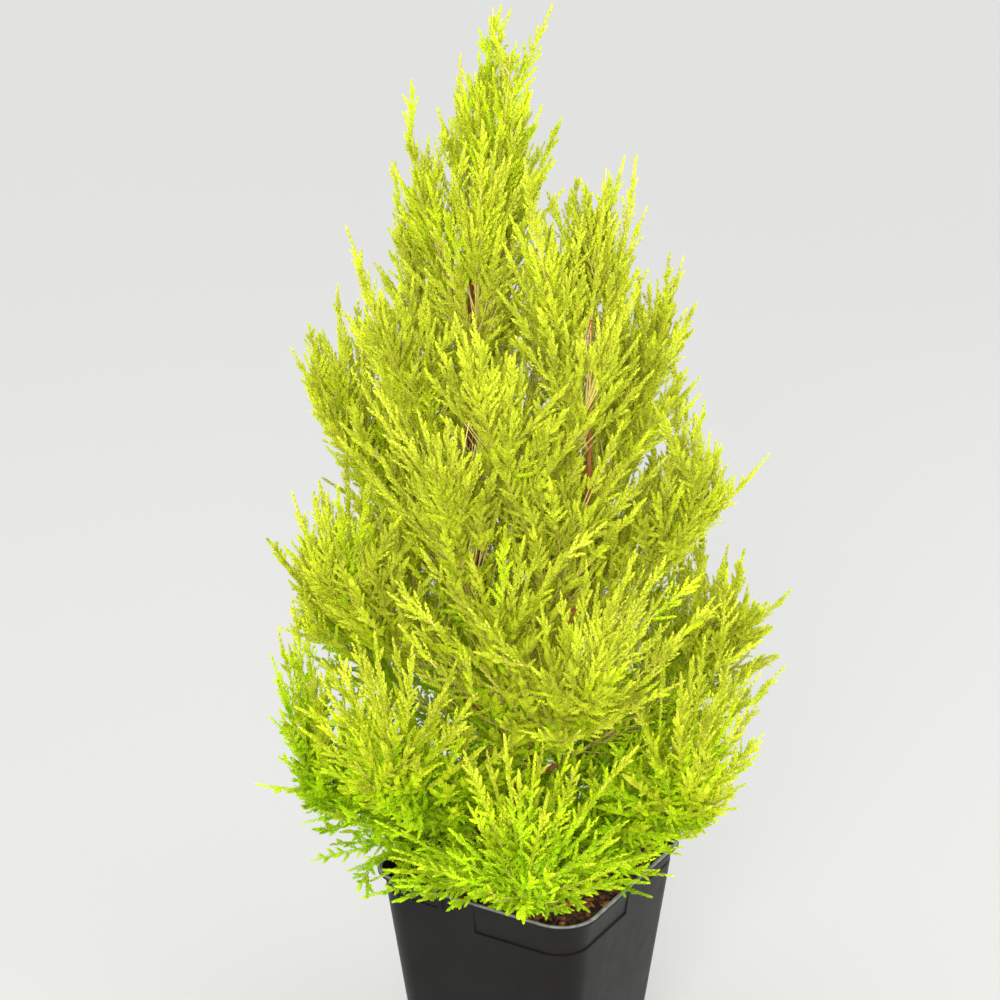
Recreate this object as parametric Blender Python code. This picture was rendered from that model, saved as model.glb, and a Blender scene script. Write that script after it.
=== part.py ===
# Lemon cypress in a square nursery pot: a trunk that forks low down into two leaders,
# limbs in one golden-angle spiral round it, and feathery foliage masses along them.
# Metres, +Z up, origin at the centre of the pot's flat underside, with the pot's sides
# square to X and Y.

from collections import namedtuple
from math import atan2, cos, hypot, pi, radians, sin
from random import Random

import bmesh
import bpy
import numpy as np
from mathutils import Matrix, Vector

# Pot, a moulded square one whose sides draw in towards the foot
RIM_SIDE = 0.154
FOOT_SIDE = 0.106
POT_HEIGHT = 0.200
RIM_CORNER = 0.022
FOOT_CORNER = 0.016
WALL = 0.0014
FLOOR = 0.0020
BAND_HEIGHT = 0.024
BAND_PROUD = 0.0016
LIP_FLARE = 0.0022
LIP_HEIGHT = 0.0030
CORNER_STEPS = 4
DRAIN_RADIUS = 0.006
DRAIN_REACH = 0.033
DRAIN_SIDES = 10

# Compost, filled to just below the rim
COMPOST_DROP = 0.010
COMPOST_CROWN = 0.003
FIT_GAP = 0.0003

# Plant, turned in its pot so that the two leaders stand along one of its diagonals
PLANT_TURN = radians(31)
GROUND = POT_HEIGHT - COMPOST_DROP
CROWN_TOP = 0.546
TRUNK_TOP = 0.434
TRUNK_FOOT = 0.0052
TRUNK_FLARE = 0.0040
FLARE_HEIGHT = 0.012
TRUNK_TIP = 0.0011
TRUNK_BEND = 0.034
BEND_SPAN = 0.64
TRUNK_START = -0.004
FORK_HEIGHT = 0.036
SECOND_TOP = 0.457
SECOND_LIMB_TOP = 0.362
SECOND_FOOT = 0.0036
SECOND_TIP = 0.0010
SECOND_SWING = 0.044
SECOND_FORWARD = -0.020
SWING_RISE = 0.235
TRUNK_SIDES = 8
LEADER_SIDES = 6
BOUGH_SIDES = 5
LIMB_CLEAR = 0.0009
PATH_CLEAR = 0.0030
TURN_STEP = radians(4)
TURN_STEPS = 8

# Foliage masses
STEM_SIDES = 3
STEM_RADIUS = 0.0013
STEM_TIP = 0.0005
STEM_PHASE = 0.3
CORE_SIDES = 5
SPACE_MARGIN = 0.0008
CORE_MARGIN = 0.0016
POT_MARGIN = 0.0015
GOLDEN_TURN = radians(137.5)
SHORTEST_SPRAY = 0.016
SAMPLES = 44
TIP_SHARE = 0.30

# Crown outline, as a radius round a centre line at each height above the rim: widest at
# the bulge, with straight tapers below and above it and a round cap over the shoulder
BULGE_RADIUS = 0.165
BULGE_HEIGHT = 0.115
SKIRT_TAPER = 0.34
FLANK_TAPER = 0.235
SHOULDER_HEIGHT = 0.355
CAP_POWER = 1.35
CENTRE_SHIFT = 0.002
CENTRE_LEAN = -0.028
OUTLINE_SLACK = 0.012
FRINGE_DROP = 0.007
LOW_SIDE_LOSS = 0.24

# Limbs leave the trunk in one golden-angle spiral and end on the crown's outline.
# They start flat and low down and end steep near the top, in degrees.
LIMB_COUNT = 26
LOWEST_LIMB = 0.012
HIGHEST_LIMB = 0.388
LIMB_CROWDING = 1.7
FIRST_AZIMUTH = 270
START_LOW, START_HIGH, START_POWER = 2, 74, 0.55
END_LOW, END_HIGH, END_POWER = 2, 86, 0.40
DROOP = 22
DROOP_HEIGHT = 0.040
BOUGH_LIMIT = 0.120
BOUGH_SHARE = 0.20
LOW_BOUGH_SHARE = 0.10
BOUGH_FOOT = 0.0022

# A few limbs climb steeply inside the others and fill the crown round the trunk
INNER_COUNT = 4
INNER_LOW, INNER_HIGH = 0.034, 0.100
INNER_START, INNER_END = 50, 74
INNER_FIRST = 262
INNER_REACH = 0.50

# The second leader carries a fan of limbs on its outer side
FAN_COUNT = 4
FAN_LOW, FAN_HIGH = 0.180, 0.325
FAN_SPREAD = 125

MASS_WIDTH_LOW, MASS_WIDTH_HIGH = 0.064, 0.030
CORE_WIDTH = 0.46
CORE_LEAST = 0.0017
CORE_SHAPE = ((0.03, 0.25), (0.20, 1.0), (0.50, 0.95), (0.82, 0.30))
SPRAYS_LOW, SPRAYS_HIGH = 11, 8
PLUME_WIDTH = 0.024
PLUME_SPRAYS = 8
# Each mass takes its own number as its seed, apart from these.
OTHER_SEEDS = {"foliage_10": 110, "foliage_23": 123}

Path = namedtuple("Path", "root azimuth start end length")
Mass = namedtuple("Mass", "name path start width sprays")


def clear_scene():
    for item in list(bpy.data.objects):
        bpy.data.objects.remove(item)


def make_material(name, colour, roughness):
    material = bpy.data.materials.new(name)
    material.use_nodes = True
    shader = material.node_tree.nodes["Principled BSDF"]
    shader.inputs["Base Color"].default_value = (*colour, 1.0)
    shader.inputs["Roughness"].default_value = roughness
    shader.inputs["Metallic"].default_value = 0.0
    return material


def object_from(name, mesh_maker, material):
    mesh = bpy.data.meshes.new(name)
    mesh_maker.to_mesh(mesh)
    mesh_maker.free()
    item = bpy.data.objects.new(name, mesh)
    bpy.context.scene.collection.objects.link(item)
    item.data.materials.append(material)
    return item


def smooth(item, angle=40):
    item.data.shade_smooth()
    item.data.set_sharp_from_angle(angle=radians(angle))


# Loops and lofts


def square_loop(side, corner, height):
    """A square of the given side with rounded corners, counter-clockwise from above."""
    half = side / 2 - corner
    points = []
    for quarter, (sx, sy) in enumerate(((1, 1), (-1, 1), (-1, -1), (1, -1))):
        for step in range(CORNER_STEPS + 1):
            turn = pi / 2 * (quarter + step / CORNER_STEPS)
            x = sx * half + corner * cos(turn)
            y = sy * half + corner * sin(turn)
            points.append(Vector((x, y, height)))
    return points


def loft(loops):
    """A closed solid through the loops, capped at both ends."""
    maker = bmesh.new()
    rings = [[maker.verts.new(point) for point in loop] for loop in loops]
    for lower, upper in zip(rings, rings[1:]):
        for i in range(len(lower)):
            k = (i + 1) % len(lower)
            maker.faces.new((lower[i], lower[k], upper[k], upper[i]))
    maker.faces.new(rings[0][::-1])
    maker.faces.new(rings[-1])
    bmesh.ops.recalc_face_normals(maker, faces=maker.faces)
    return maker


def ring(centre, along, radius, sides, phase=0.0):
    across = along.orthogonal().normalized()
    other = along.cross(across).normalized()
    points = []
    for i in range(sides):
        turn = phase + 2 * pi * i / sides
        points.append(centre + radius * (cos(turn) * across + sin(turn) * other))
    return points


# Pot and compost


def side_at(height):
    return FOOT_SIDE + (RIM_SIDE - 2 * BAND_PROUD - FOOT_SIDE) * height / POT_HEIGHT


def corner_at(height):
    return FOOT_CORNER + (RIM_CORNER - FOOT_CORNER) * height / POT_HEIGHT


def pot_profile():
    """Side, corner radius and height of each loop, up the outside and down the inside."""
    band = POT_HEIGHT - BAND_HEIGHT
    lip = POT_HEIGHT - LIP_HEIGHT
    outer = [(0.0, 0.0), (band, 0.0), (band + BAND_PROUD, BAND_PROUD)]
    outer += [(lip, BAND_PROUD), (lip, BAND_PROUD + LIP_FLARE)]
    outer += [(POT_HEIGHT, BAND_PROUD + LIP_FLARE)]
    inner = [(POT_HEIGHT, BAND_PROUD - WALL), (band + 2 * BAND_PROUD, BAND_PROUD - WALL)]
    inner += [(band, -WALL), (FLOOR, -WALL)]
    return [
        (side_at(height) + 2 * out, corner_at(height) + out, height)
        for height, out in outer + inner
    ]


def make_pot(material):
    pot = object_from("pot", loft([square_loop(*loop) for loop in pot_profile()]), material)
    maker = bmesh.new()
    for sx in (-DRAIN_REACH, DRAIN_REACH):
        for sy in (-DRAIN_REACH, DRAIN_REACH):
            bmesh.ops.create_cone(
                maker,
                cap_ends=True,
                segments=DRAIN_SIDES,
                radius1=DRAIN_RADIUS,
                radius2=DRAIN_RADIUS,
                depth=4 * FLOOR,
                matrix=Matrix.Translation((sx, sy, FLOOR / 2)),
            )
    drill = object_from("drain_drill", maker, material)
    drill.hide_render = True
    drill.display_type = "WIRE"
    holes = pot.modifiers.new("drains", "BOOLEAN")
    holes.operation = "DIFFERENCE"
    holes.object = drill
    holes.solver = "EXACT"
    smooth(pot)
    return pot


def make_compost(material):
    """Bark compost, with a low crown, filling the pot to just below its rim."""
    inset = 2 * (WALL + FIT_GAP)
    band = POT_HEIGHT - BAND_HEIGHT
    loops = []
    for height in (FLOOR + FIT_GAP, band - FIT_GAP, GROUND - COMPOST_CROWN):
        side = side_at(height) - inset
        loops.append(square_loop(side, corner_at(height) - inset / 2, height))
    side = side_at(GROUND) - inset
    loops.append(square_loop(0.72 * side, 0.72 * corner_at(GROUND), GROUND))
    return object_from("compost", loft(loops), material)


# Limbs


def trunk_point(height):
    """Centre of the trunk at a height above the rim. It bows to one side and back."""
    lean = TRUNK_START - TRUNK_BEND * sin(pi * max(height, 0.0) / BEND_SPAN)
    return Vector((lean, 0.0, POT_HEIGHT + height))


def trunk_radius(height):
    above = height + COMPOST_DROP
    share = min(1.0, above / (TRUNK_TOP + COMPOST_DROP))
    taper = TRUNK_FOOT + (TRUNK_TIP - TRUNK_FOOT) * share**0.85
    return taper + TRUNK_FLARE * max(0.0, 1 - above / FLARE_HEIGHT) ** 2


def second_point(height):
    """Centre of the second leader, which swings out from the fork and then climbs."""
    start = trunk_point(FORK_HEIGHT)
    swing = sin(min(1.0, (height - FORK_HEIGHT) / SWING_RISE) * pi / 2)
    x = start.x + SECOND_SWING * swing
    return Vector((x, start.y + SECOND_FORWARD * swing, POT_HEIGHT + height))


def second_radius(height):
    share = (height - FORK_HEIGHT) / (SECOND_LIMB_TOP - FORK_HEIGHT)
    return SECOND_FOOT + (SECOND_TIP - SECOND_FOOT) * max(0.0, share) ** 0.85


def second_start():
    """Lowest height at which the second leader's foot is just clear of the trunk."""
    height = FORK_HEIGHT
    while True:
        gap = (second_point(height) - trunk_point(height)).length
        if gap > trunk_radius(height) + second_radius(height) + FIT_GAP:
            return height
        height += 0.0005


def level_ring(centre, radius, sides):
    points = []
    for i in range(sides):
        turn = 2 * pi * (i + 0.5) / sides
        points.append(centre + radius * Vector((cos(turn), sin(turn), 0.0)))
    return points


def make_upright(name, point, radius, low, high, steps, sides, material):
    loops = []
    for i in range(steps + 1):
        height = low + (high - low) * (i / steps) ** 1.25
        loops.append(level_ring(point(height), radius(height), sides))
    item = object_from(name, loft(loops), material)
    smooth(item, 60)
    return item


def path_point(path, along):
    """Point at a distance along a limb whose elevation turns evenly from start to end."""
    sweep = (path.end - path.start) / path.length
    low = path.start
    high = path.start + sweep * along
    if abs(sweep * along) < 1e-6:
        out, rise = along * cos(low), along * sin(low)
    else:
        out, rise = (sin(high) - sin(low)) / sweep, (cos(low) - cos(high)) / sweep
    flat = Vector((cos(path.azimuth), sin(path.azimuth), 0.0))
    return path.root + out * flat + Vector((0.0, 0.0, rise))


def path_along(path, along):
    rise = path.start + (path.end - path.start) * along / path.length
    flat = Vector((cos(path.azimuth), sin(path.azimuth), 0.0))
    return cos(rise) * flat + Vector((0.0, 0.0, sin(rise)))


def foot_distance(path, first_loop, carrier_point, carrier_radius):
    """How far along its path a limb starts, so that its first loop just clears its carrier."""
    along = 0.0
    while True:
        loop = first_loop(path_point(path, along), path_along(path, along))
        marks = loop + [(a + b) / 2 for a, b in zip(loop, loop[1:] + loop[:1])]
        heights = [mark.z - POT_HEIGHT for mark in marks]
        reaches = [(mark - carrier_point(h)).length for mark, h in zip(marks, heights)]
        if all(reach > carrier_radius(h) + FIT_GAP for reach, h in zip(reaches, heights)):
            return along
        along += 0.0001


def bough_foot(centre, along):
    return ring(centre, along, BOUGH_FOOT, BOUGH_SIDES)


def stem_foot(centre, along):
    return ring(centre, along, STEM_RADIUS, STEM_SIDES, STEM_PHASE)


def make_bough(name, path, start, end, thick, thin, material):
    loops = []
    steps = 3
    for i in range(steps + 1):
        share = i / steps
        along = start + (end - start) * share
        radius = thick + (thin - thick) * share
        loops.append(ring(path_point(path, along), path_along(path, along), radius, BOUGH_SIDES))
    item = object_from(name, loft(loops), material)
    smooth(item, 60)
    return item


# The space that each mass keeps to


class Spaces:
    """Each mass owns the points that lie nearer to its stem than to any other stem."""

    def __init__(self, masses, limbs):
        self.names = [mass.name for mass in masses]
        stems = []
        for mass in masses:
            marks = np.linspace(mass.start, mass.path.length, SAMPLES)
            stems.append([path_point(mass.path, mark) for mark in marks])
        self.stems = np.array(stems)
        self.limbs = np.array([[*centre, radius] for centre, radius in limbs])

    def holds(self, name, points, margin):
        """True for each point that is in the named mass's space, clear of every limb."""
        points = np.array([tuple(point) for point in points])
        offsets = self.stems[:, :, None, :] - points[None, None, :, :]
        nearest = np.sqrt((offsets**2).sum(-1)).min(1)
        own = self.names.index(name)
        others = np.delete(nearest, own, axis=0).min(0)
        free = nearest[own] + 2 * margin < others
        reach = np.sqrt(((self.limbs[:, None, :3] - points[None]) ** 2).sum(-1))
        free &= (reach - self.limbs[:, None, 3]).min(0) > LIMB_CLEAR
        return free & np.array([clear_of_pot(point) and in_outline(point) for point in points])


def clear_of_pot(point):
    """True above the compost inside the rim, and anywhere outside the pot."""
    x = abs(point[0] * cos(PLANT_TURN) - point[1] * sin(PLANT_TURN))
    y = abs(point[0] * sin(PLANT_TURN) + point[1] * cos(PLANT_TURN))
    z = point[2]
    if z > POT_HEIGHT + POT_MARGIN:
        return True
    across = max(x, y)
    outer = RIM_SIDE / 2 + LIP_FLARE + POT_MARGIN
    inner = RIM_SIDE / 2 - BAND_PROUD - WALL - POT_MARGIN
    return across > outer or (across < inner and z > GROUND + POT_MARGIN)


def in_outline(point):
    """True inside the crown's outline, with a little slack for the last sprays."""
    height = point[2] - POT_HEIGHT
    centre = CENTRE_SHIFT + CENTRE_LEAN * height / CROWN_TOP
    azimuth = atan2(point[1], point[0] - centre)
    reach = crown_radius(height, azimuth) + OUTLINE_SLACK
    return height > -FRINGE_DROP and hypot(point[0] - centre, point[1]) < reach


# Foliage


def blade_outline(length, width):
    """Half of a toothed spray: distance along it and half-width, from root to tip."""
    return (
        (0.00 * length, 0.14 * width),
        (0.42 * length, 0.50 * width),
        (0.53 * length, 0.34 * width),
        (1.00 * length, 0.00),
    )


BLADE_RIDGE = 0.44
BLADE_THICK = 0.028


def blade_points(root, along, face, length, width):
    """Outline of a spray in its plane, then the ridge point of each of its two sides."""
    side = along.cross(face).normalized()
    half = blade_outline(length, width)
    outline = [root + y * along + x * side for y, x in half]
    outline += [root + y * along - x * side for y, x in reversed(half[:-1])]
    ridge = root + BLADE_RIDGE * length * along
    thick = BLADE_THICK * length * face
    return outline, ridge + thick, ridge - thick


def make_blade(root, along, face, length, width):
    outline, front, back = blade_points(root, along, face, length, width)
    maker = bmesh.new()
    rim = [maker.verts.new(point) for point in outline]
    for centre in (maker.verts.new(front), maker.verts.new(back)):
        for i in range(len(rim)):
            maker.faces.new((rim[i], rim[(i + 1) % len(rim)], centre))
    bmesh.ops.recalc_face_normals(maker, faces=maker.faces)
    return maker


def blade_tests(root, along, face, length, width):
    """Points that stand for a spray when it is tested against its space."""
    outline, front, back = blade_points(root, along, face, length, width)
    tests = outline[1:-1] + [front, back]
    tests += [root + share * length * along for share in (0.1, 0.2, 0.3, 0.55, 0.65, 0.75, 0.85)]
    tests += [(a + b) / 2 for a, b in zip(outline[:-1], outline[1:])]
    return tests


def plume_width(mass, share):
    """Half-width of a plume at a share of its length, full low down and fine at the tip."""
    return mass.width * (0.62 + 1.5 * share if share < 0.25 else (1.333 * (1 - share)) ** 0.62)


def core_loops(mass, radii):
    """Loops of a core, from the radius of each of its points."""
    loops = []
    span = mass.path.length - mass.start
    for (share, _), row in zip(CORE_SHAPE, radii):
        along = mass.start + share * span
        centre = path_point(mass.path, along)
        spokes = ring(Vector(), path_along(mass.path, along), 1.0, CORE_SIDES)
        loops.append([centre + radius * spoke for radius, spoke in zip(row, spokes)])
    return loops


def core_links():
    """Pairs of core points that a face joins, each as loop number and place in the loop."""
    links = []
    for k in range(len(CORE_SHAPE)):
        for i in range(CORE_SIDES):
            after = (i + 1) % CORE_SIDES
            links.append(((k, i), (k, after)))
            if k + 1 < len(CORE_SHAPE):
                links += [((k, i), (k + 1, i)), ((k, i), (k + 1, after)), ((k, after), (k + 1, i))]
    return links


def fit_core(mass, spaces):
    """A core whose points are drawn in until its faces stay inside the mass's space."""
    radii = [[full * CORE_WIDTH * mass.width] * CORE_SIDES for _, full in CORE_SHAPE]
    shares = (0.0, 0.2, 0.4, 0.6, 0.8, 1.0)
    links = core_links()
    while True:
        loops = core_loops(mass, radii)
        tests = []
        for (k, i), (m, j) in links:
            tests += [loops[k][i].lerp(loops[m][j], share) for share in shares]
        held = spaces.holds(mass.name, tests, CORE_MARGIN).reshape(len(links), -1).all(1)
        tight = {end for link, free in zip(links, held) if not free for end in link}
        tight = [end for end in tight if radii[end[0]][end[1]] > CORE_LEAST]
        if not tight:
            return loops
        for k, i in tight:
            radii[k][i] *= 0.9


def make_stem(mass):
    loops = []
    for share in (0.0, 0.14, 0.50, 0.78, 0.92):
        along = mass.start + share * (mass.path.length - mass.start)
        radius = STEM_RADIUS + (STEM_TIP - STEM_RADIUS) * share
        centre = path_point(mass.path, along)
        loops.append(ring(centre, path_along(mass.path, along), radius, STEM_SIDES, STEM_PHASE))
    return loft(loops)


def fitted_spray(mass, spaces, root, along, face, length, width):
    """A spray shortened until it stays in the mass's space, or None where it can't."""
    while length > SHORTEST_SPRAY:
        if spaces.holds(mass.name, blade_tests(root, along, face, length, width), SPACE_MARGIN).all():
            return make_blade(root, along, face, length, width)
        length *= 0.88
        width *= 0.94
    return None


def spray_pieces(mass, spaces, rule):
    """Sprays round the stem by a golden-angle spiral, then the spray at its tip."""
    pieces = []
    span = mass.path.length - mass.start
    turn = rule.uniform(0, 2 * pi)
    for i in range(mass.sprays):
        share = 0.04 + 0.80 * (i + 0.5) / mass.sprays
        along = mass.start + share * span
        centre = path_point(mass.path, along)
        ahead = path_along(mass.path, along)
        turn += GOLDEN_TURN
        out = ring(Vector(), ahead, 1.0, 1, turn)[0]
        lean = radians(46 - 18 * share + rule.uniform(-6, 6))
        direct = (cos(lean) * ahead + sin(lean) * out).normalized()
        face = direct.cross(ahead.cross(out)).normalized()
        face = Matrix.Rotation(rule.uniform(-0.9, 0.9), 3, direct) @ face
        length = plume_width(mass, share) / sin(lean) * rule.uniform(0.92, 1.12)
        piece = fitted_spray(mass, spaces, centre, direct, face, length, 0.46 * length + 0.002)
        if piece:
            pieces.append(piece)
    return pieces + tip_pieces(mass, spaces)


def tip_pieces(mass, spaces):
    """The spray that carries the stem on to the mass's furthest point."""
    length = TIP_SHARE * (mass.path.length - mass.start)
    root = path_point(mass.path, mass.path.length - length)
    direct = (path_point(mass.path, mass.path.length) - root).normalized()
    out = Vector((cos(mass.path.azimuth), sin(mass.path.azimuth), 0.35))
    face = direct.cross(out.cross(direct)).normalized()
    piece = fitted_spray(mass, spaces, root, direct, face, length, 0.36 * length)
    return [piece] if piece else []


def join_pieces(name, makers, material):
    """One Boolean union of the pieces, with loose scraps and sealed hollows dropped."""
    body = object_from(name, makers[0], material)
    group = bpy.data.collections.new(name + "_pieces")
    bpy.context.scene.collection.children.link(group)
    for maker in makers[1:]:
        piece = object_from(name + "_piece", maker, material)
        bpy.context.scene.collection.objects.unlink(piece)
        group.objects.link(piece)
    union = body.modifiers.new("union", "BOOLEAN")
    union.operation = "UNION"
    union.operand_type = "COLLECTION"
    union.collection = group
    for solver in ("MANIFOLD", "EXACT"):
        union.solver = solver
        depsgraph = bpy.context.evaluated_depsgraph_get()
        joined = bpy.data.meshes.new_from_object(body.evaluated_get(depsgraph))
        if keep_largest(joined):
            break
    body.modifiers.clear()
    body.data = joined
    for piece in list(group.objects):
        bpy.data.objects.remove(piece)
    bpy.data.collections.remove(group)
    return body


def linked_faces(first):
    """Every face that shared edges join to the first one."""
    found = {first}
    rim = [first]
    while rim:
        for edge in rim.pop().edges:
            for face in edge.link_faces:
                if face not in found:
                    found.add(face)
                    rim.append(face)
    return found


def keep_largest(mesh):
    """Keeps the mesh's largest connected shell, and says whether it is closed."""
    maker = bmesh.new()
    maker.from_mesh(mesh)
    left = set(maker.faces)
    shells = []
    while left:
        shell = linked_faces(next(iter(left)))
        left -= shell
        shells.append(shell)
    largest = max(shells, key=len)
    spare = [face for face in maker.faces if face not in largest]
    bmesh.ops.delete(maker, geom=spare, context="FACES")
    closed = all(len(edge.link_faces) == 2 for edge in maker.edges)
    maker.to_mesh(mesh)
    maker.free()
    return closed


def make_mass(mass, spaces, seed, material):
    rule = Random(seed)
    makers = [loft(fit_core(mass, spaces)), make_stem(mass)]
    makers += spray_pieces(mass, spaces, rule)
    return join_pieces(mass.name, makers, material)


# The whole plant


def crown_radius(height, azimuth):
    """Distance from the crown's centre line to its outline, less on the low right side."""
    if height > BULGE_HEIGHT:
        flank = BULGE_RADIUS - FLANK_TAPER * (min(height, SHOULDER_HEIGHT) - BULGE_HEIGHT)
        cap = max(0.0, height - SHOULDER_HEIGHT) / (CROWN_TOP - SHOULDER_HEIGHT)
        return flank * (1 - min(1.0, cap) ** CAP_POWER)
    below = BULGE_HEIGHT - height
    loss = LOW_SIDE_LOSS * max(0.0, cos(azimuth)) * min(1.0, below / BULGE_HEIGHT)
    return (BULGE_RADIUS - SKIRT_TAPER * below) * (1 - loss)


def inside_crown(point, azimuth, reach):
    height = point.z - POT_HEIGHT
    centre = CENTRE_SHIFT + CENTRE_LEAN * height / CROWN_TOP
    return hypot(point.x - centre, point.y) < reach * crown_radius(height, azimuth)


def slopes_at(height):
    """Elevations, in degrees, with which a limb that starts at this height begins and ends."""
    share = height / HIGHEST_LIMB
    start = START_LOW + (START_HIGH - START_LOW) * share**START_POWER
    end = END_LOW + (END_HIGH - END_LOW) * share**END_POWER
    return start, end - DROOP * max(0.0, 1 - height / DROOP_HEIGHT)


def limb_path(root, azimuth, slopes, reach, rule):
    """A limb from the root that ends at a share of the way out to the crown's outline."""
    start, end = (radians(slope + rule.uniform(-3, 3)) for slope in slopes)
    stretch = rule.uniform(0.94, 1.06)
    length = 0.060
    while True:
        path = Path(root, azimuth, start, end, length)
        if not inside_crown(path_point(path, length), azimuth, reach):
            return path._replace(length=length * stretch)
        length += 0.002


def second_samples():
    """Centre and radius of points along the second leader."""
    heights = np.linspace(second_start(), SECOND_LIMB_TOP, 110)
    return [(second_point(height), second_radius(height)) for height in heights]


def path_samples(path, start, end, radius):
    return [(path_point(path, along), radius) for along in np.linspace(start, end, 40)]


def clearance(path, taken):
    """Least gap between a limb and the others, its foot left out."""
    centres = np.array([centre for centre, radius in taken])
    radii = np.array([radius for centre, radius in taken])
    points = np.array([path_point(path, along) for along in np.linspace(0.012, path.length, 50)])
    return (np.sqrt(((points[:, None] - centres[None]) ** 2).sum(-1)) - radii).min()


def turned_aside(path, taken):
    """The path, turned round the trunk until it runs clear of the limbs already placed."""
    turns = sorted(range(-TURN_STEPS, TURN_STEPS + 1), key=abs)
    paths = [path._replace(azimuth=path.azimuth + turn * TURN_STEP) for turn in turns]
    for turned in paths:
        if clearance(turned, taken) > PATH_CLEAR:
            return turned
    return max(paths, key=lambda turned: clearance(turned, taken))


def trunk_limbs():
    """Path of each limb of the trunk's spiral."""
    rule = Random(5)
    for i in range(LIMB_COUNT):
        share = (i / (LIMB_COUNT - 1)) ** LIMB_CROWDING
        height = LOWEST_LIMB + (HIGHEST_LIMB - LOWEST_LIMB) * share
        azimuth = radians(FIRST_AZIMUTH) + i * GOLDEN_TURN
        yield limb_path(trunk_point(height), azimuth, slopes_at(height), 1.0, rule)


def inner_limbs():
    rule = Random(6)
    for i in range(INNER_COUNT):
        height = INNER_LOW + (INNER_HIGH - INNER_LOW) * i / (INNER_COUNT - 1)
        azimuth = radians(INNER_FIRST) + i * GOLDEN_TURN
        slopes = (INNER_START, INNER_END)
        yield limb_path(trunk_point(height), azimuth, slopes, INNER_REACH, rule)


def fan_limbs():
    rule = Random(8)
    for i in range(FAN_COUNT):
        share = i / (FAN_COUNT - 1)
        height = FAN_LOW + (FAN_HIGH - FAN_LOW) * share
        turn = (i * 2) % FAN_COUNT / (FAN_COUNT - 1)
        azimuth = radians(FAN_SPREAD * (2 * turn - 1))
        yield limb_path(second_point(height), azimuth, slopes_at(height), 1.0, rule)


def mass_size(height):
    """Half-width and number of sprays of a mass whose limb starts at this height."""
    share = min(1.0, height / HIGHEST_LIMB)
    width = MASS_WIDTH_LOW + (MASS_WIDTH_HIGH - MASS_WIDTH_LOW) * share
    return width, round(SPRAYS_LOW + (SPRAYS_HIGH - SPRAYS_LOW) * share)


def plan_masses():
    """Every mass and every bough, before any of them is made."""
    masses = []
    boughs = []
    taken = second_samples()
    for path in [*trunk_limbs(), *inner_limbs()]:
        height = path.root.z - POT_HEIGHT
        path = turned_aside(path, taken)
        wooden = height < BOUGH_LIMIT and path.start < radians(INNER_START - 5)
        radius = BOUGH_FOOT if wooden else STEM_RADIUS
        first_loop = bough_foot if wooden else stem_foot
        start = foot_distance(path, first_loop, trunk_point, trunk_radius)
        taken += path_samples(path, start, path.length, radius)
        if wooden:
            share = LOW_BOUGH_SHARE if height < DROOP_HEIGHT else BOUGH_SHARE
            end = start + share * path.length
            boughs.append((f"bough_{len(boughs) + 1}", path, start, end, radius))
            start = end + FIT_GAP
        masses.append(Mass(f"foliage_{len(masses) + 1}", path, start, *mass_size(height)))
    taken = taken[len(second_samples()):]
    for path in fan_limbs():
        height = path.root.z - POT_HEIGHT
        path = turned_aside(path, taken)
        start = foot_distance(path, stem_foot, second_point, second_radius)
        taken += path_samples(path, start, path.length, STEM_RADIUS)
        masses.append(Mass(f"foliage_{len(masses) + 1}", path, start, *mass_size(height)))
    tops = (
        ("main_plume", trunk_point(TRUNK_TOP), CROWN_TOP - TRUNK_TOP, 0.0),
        ("second_plume", second_point(SECOND_LIMB_TOP), SECOND_TOP - SECOND_LIMB_TOP, 0.1),
    )
    for name, root, length, azimuth in tops:
        path = Path(root, azimuth, radians(84), radians(86), length)
        masses.append(Mass(name, path, 2 * FIT_GAP, PLUME_WIDTH, PLUME_SPRAYS))
    return masses, boughs


def limb_samples(boughs):
    """Centre and radius of points along every limb, for testing what comes near it."""
    samples = second_samples()
    for height in np.linspace(-COMPOST_DROP, TRUNK_TOP, 150):
        samples.append((trunk_point(height), trunk_radius(height)))
    for name, path, start, end, radius in boughs:
        samples += path_samples(path, start, end, radius)
    return samples


def build():
    clear_scene()
    plastic = make_material("pot_plastic", (0.030, 0.028, 0.026), 0.45)
    bark_chips = make_material("bark_compost", (0.110, 0.055, 0.028), 0.95)
    bark = make_material("stem_bark", (0.260, 0.090, 0.035), 0.80)
    lime = make_material("lime_foliage", (0.500, 0.600, 0.040), 0.60)

    make_pot(plastic)
    make_compost(bark_chips)

    plant = bpy.data.objects.new("plant", None)
    bpy.context.scene.collection.objects.link(plant)
    plant.rotation_euler.z = PLANT_TURN

    masses, boughs = plan_masses()
    spaces = Spaces(masses, limb_samples(boughs))
    pieces = [
        make_upright(
            "trunk", trunk_point, trunk_radius, -COMPOST_DROP + FIT_GAP, TRUNK_TOP, 14,
            TRUNK_SIDES, bark,
        ),
        make_upright(
            "second_leader", second_point, second_radius, second_start(), SECOND_LIMB_TOP, 10,
            LEADER_SIDES, bark,
        ),
    ]
    for name, path, start, end, radius in boughs:
        pieces.append(make_bough(name, path, start, end, radius, STEM_RADIUS, bark))
    for number, mass in enumerate(masses, 1):
        seed = OTHER_SEEDS.get(mass.name, number)
        pieces.append(make_mass(mass, spaces, seed, lime))
    for piece in pieces:
        piece.parent = plant


build()
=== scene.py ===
# Lemon cypress in a square nursery pot: bark, feathery shoots, moulded pot and bark chips
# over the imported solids. Metres, +Z up.

from collections import namedtuple
from math import cos, hypot, pi, radians, sin
from random import Random

import bmesh
import bpy
import numpy as np
from mathutils import Matrix, Vector, noise


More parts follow.
